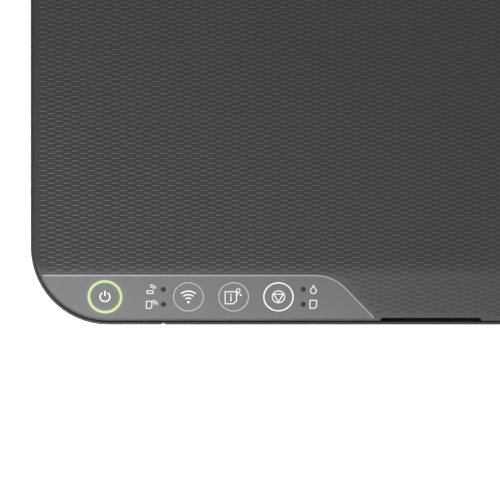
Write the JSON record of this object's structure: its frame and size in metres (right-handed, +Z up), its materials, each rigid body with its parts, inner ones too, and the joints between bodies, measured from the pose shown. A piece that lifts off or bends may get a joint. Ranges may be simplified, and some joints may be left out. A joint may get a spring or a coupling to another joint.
{
  "type": "inkjet printer",
  "caption": "Compact desktop inkjet printer with a hinged top cover, sloping button panel, rear sheet feeder, front tray and refillable ink tank.",
  "frame": {"origin": "middle of the footprint, on the surface it stands on", "axes": "+X to the user's right, -Y the front, +Z up"},
  "size_m": [0.375, 0.347, 0.169],
  "materials": {
    "casing": "fine spark texture",
    "cover_plastic": "moulded woven texture",
    "panel_gloss": "smooth satin insert",
    "key_plastic": "smooth satin, printed symbol",
    "light_guide": "translucent green",
    "lamp_lens": "smoked",
    "rubber": "matt",
    "steel": "zinc-plated sheet",
    "shaft_steel": "ground",
    "brass": "machined",
    "gear_plastic": "natural acetal",
    "black_abs": "moulded",
    "grey_abs": "moulded",
    "clear_plastic": "clear",
    "circuit_board": "green solder mask",
    "motor_can": "plated can",
    "belt_rubber": "toothed",
    "cork": "cork-filled rubber",
    "cap_black": "soft cap",
    "cap_cyan": "soft cap",
    "cap_magenta": "soft cap",
    "cap_yellow": "soft cap"
  },
  "bodies": {
    "chassis": {"lower_case": "casing", "rubber_feet": "rubber", "case_screws": "steel", "upper_housing": "casing", "rear_cover": "casing", "front_fascia": "casing", "main_frame": "steel", "platen": "black_abs", "feed_motor": "motor_can", "pinch_arms": "black_abs", "star_wheel_bar": "black_abs", "drive_belt": "belt_rubber", "carriage_motor": "motor_can", "encoder_strip": "clear_plastic", "capping_base": "black_abs", "suction_pump": "grey_abs", "feed_frame": "black_abs", "separation_pad": "cork", "ink_tank": "clear_plastic", "ac_inlet": "black_abs", "usb_port": "steel", "main_board": "circuit_board", "power_supply": "black_abs"},
    "cover": {"printer_cover": "cover_plastic", "hinge_pins": "shaft_steel", "control_panel": "panel_gloss", "power_light_ring": "light_guide", "indicator_lenses": "lamp_lens", "panel_board": "circuit_board"},
    "power_key": {"power_button": "key_plastic"},
    "wireless_key": {"wireless_button": "key_plastic"},
    "status_key": {"status_button": "key_plastic"},
    "stop_key": {"stop_button": "key_plastic"},
    "feed_shaft": {"feed_roller": "shaft_steel", "feed_gear": "gear_plastic", "encoder_disc": "clear_plastic"},
    "idler": {"idler_gear": "gear_plastic"},
    "eject_shaft": {"eject_roller": "black_abs"},
    "motor_shaft": {"motor_pinion": "brass"},
    "pinch_set": {"pinch_rollers": "gear_plastic"},
    "star_shaft": {"star_wheels": "shaft_steel"},
    "carriage": {"carriage_body": "black_abs", "print_head": "grey_abs"},
    "belt_drive": {"drive_pulley": "gear_plastic"},
    "belt_idler": {"idler_pulley": "gear_plastic"},
    "nozzle_cap": {"cap_holder": "grey_abs"},
    "hopper": {"hopper_plate": "black_abs"},
    "pickup": {"pickup_roller": "rubber"},
    "left_guide": {"left_edge_guide": "casing"},
    "right_guide": {"right_edge_guide": "casing"},
    "support": {"paper_support": "casing"},
    "support_top": {"support_extension": "casing"},
    "guard": {"feeder_guard": "casing"},
    "tray": {"output_tray": "casing"},
    "tray_front": {"tray_extension": "casing"},
    "stopper": {"paper_stopper": "casing"},
    "cap_black": {"tank_cap_black": "cap_black"},
    "cap_cyan": {"tank_cap_cyan": "cap_cyan"},
    "cap_magenta": {"tank_cap_magenta": "cap_magenta"},
    "cap_yellow": {"tank_cap_yellow": "cap_yellow"}
  },
  "joints": [
    {"name": "cover_hinge", "type": "hinge", "parent": "chassis", "child": "cover", "pos_m": [0, 0.084, 0.1555], "axis": [-1, 0, 0], "range_deg": [0, 60]},
    {"name": "power_press", "type": "slide", "parent": "cover", "child": "power_key", "axis": [0, 0.2957, -0.9553], "range_m": [0, 0.0006], "stiffness_N_per_m": 2500},
    {"name": "wireless_press", "type": "slide", "parent": "cover", "child": "wireless_key", "axis": [0, 0.2957, -0.9553], "range_m": [0, 0.0006], "stiffness_N_per_m": 2500},
    {"name": "status_press", "type": "slide", "parent": "cover", "child": "status_key", "axis": [0, 0.2957, -0.9553], "range_m": [0, 0.0006], "stiffness_N_per_m": 2500},
    {"name": "stop_press", "type": "slide", "parent": "cover", "child": "stop_key", "axis": [0, 0.2957, -0.9553], "range_m": [0, 0.0006], "stiffness_N_per_m": 2500},
    {"name": "feed_spin", "type": "hinge", "parent": "chassis", "child": "feed_shaft", "pos_m": [0, 0.034, 0.06], "axis": [1, 0, 0], "continuous": true},
    {"name": "idler_spin", "type": "hinge", "parent": "chassis", "child": "idler", "pos_m": [0, -0.00134, 0.05312], "axis": [1, 0, 0], "continuous": true},
    {"name": "eject_spin", "type": "hinge", "parent": "chassis", "child": "eject_shaft", "pos_m": [0, -0.034, 0.061], "axis": [1, 0, 0], "continuous": true},
    {"name": "motor_spin", "type": "hinge", "parent": "chassis", "child": "motor_shaft", "pos_m": [0, 0.05063, 0.0504], "axis": [1, 0, 0], "continuous": true},
    {"name": "pinch_spin", "type": "hinge", "parent": "chassis", "child": "pinch_set", "pos_m": [0, 0.034, 0.06915], "axis": [1, 0, 0], "continuous": true},
    {"name": "star_spin", "type": "hinge", "parent": "chassis", "child": "star_shaft", "pos_m": [0, -0.034, 0.07065], "axis": [1, 0, 0], "continuous": true},
    {"name": "carriage_travel", "type": "slide", "parent": "chassis", "child": "carriage", "axis": [-1, 0, 0], "range_m": [0, 0.25]},
    {"name": "drive_pulley_spin", "type": "hinge", "parent": "chassis", "child": "belt_drive", "pos_m": [-0.15, 0.0436, 0.111], "axis": [0, 1, 0], "continuous": true},
    {"name": "idler_pulley_spin", "type": "hinge", "parent": "chassis", "child": "belt_idler", "pos_m": [0.177, 0.0436, 0.111], "axis": [0, 1, 0], "continuous": true},
    {"name": "cap_press", "type": "slide", "parent": "chassis", "child": "nozzle_cap", "axis": [0, 0, 1], "range_m": [-0.003, 0], "stiffness_N_per_m": 1000, "springref_m": 0.002},
    {"name": "hopper_swing", "type": "hinge", "parent": "chassis", "child": "hopper", "pos_m": [0, 0.13096, 0.11969], "axis": [1, 0, 0], "range_deg": [0, 4], "stiffness_Nm_per_rad": 1, "springref_deg": -5.73},
    {"name": "pickup_spin", "type": "hinge", "parent": "chassis", "child": "pickup", "pos_m": [0, 0.09029, 0.06], "axis": [1, 0, 0], "continuous": true},
    {"name": "left_guide_slide", "type": "slide", "parent": "chassis", "child": "left_guide", "axis": [1, 0, 0], "range_m": [0, 0.055]},
    {"name": "right_guide_slide", "type": "slide", "parent": "chassis", "child": "right_guide", "axis": [1, 0, 0], "range_m": [-0.055, 0]},
    {"name": "support_slide", "type": "slide", "parent": "chassis", "child": "support", "axis": [0, 0.342, 0.9397], "range_m": [0, 0.085]},
    {"name": "support_top_slide", "type": "slide", "parent": "support", "child": "support_top", "axis": [0, 0.342, 0.9397], "range_m": [0, 0.08]},
    {"name": "guard_hinge", "type": "hinge", "parent": "chassis", "child": "guard", "pos_m": [0, 0.0996, 0.156], "axis": [1, 0, 0], "range_deg": [0, 95]},
    {"name": "tray_slide", "type": "slide", "parent": "chassis", "child": "tray", "axis": [0, -1, 0], "range_m": [0, 0.105]},
    {"name": "tray_front_slide", "type": "slide", "parent": "tray", "child": "tray_front", "axis": [0, -1, 0], "range_m": [0, 0.095]},
    {"name": "stopper_fold", "type": "hinge", "parent": "tray_front", "child": "stopper", "pos_m": [0, -0.1703, 0.0113], "axis": [1, 0, 0], "range_deg": [0, 90]},
    {"name": "cap_lift_black", "type": "slide", "parent": "chassis", "child": "cap_black", "axis": [0, 0, 1], "range_m": [0, 0.012]},
    {"name": "cap_lift_cyan", "type": "slide", "parent": "chassis", "child": "cap_cyan", "axis": [0, 0, 1], "range_m": [0, 0.012]},
    {"name": "cap_lift_magenta", "type": "slide", "parent": "chassis", "child": "cap_magenta", "axis": [0, 0, 1], "range_m": [0, 0.012]},
    {"name": "cap_lift_yellow", "type": "slide", "parent": "chassis", "child": "cap_yellow", "axis": [0, 0, 1], "range_m": [0, 0.012]}
  ],
  "couplings": [
    {"joint": "idler_spin", "follows": "feed_spin", "ratio": -0.66667},
    {"joint": "eject_spin", "follows": "feed_spin", "ratio": 1.2},
    {"joint": "motor_spin", "follows": "feed_spin", "ratio": -3},
    {"joint": "pinch_spin", "follows": "feed_spin", "ratio": -2},
    {"joint": "star_spin", "follows": "feed_spin", "ratio": -1.3333},
    {"joint": "drive_pulley_spin", "follows": "carriage_travel", "rad_per_m": 177.94},
    {"joint": "idler_pulley_spin", "follows": "carriage_travel", "rad_per_m": 177.94},
    {"joint": "right_guide_slide", "follows": "left_guide_slide", "ratio": -1}
  ]
}
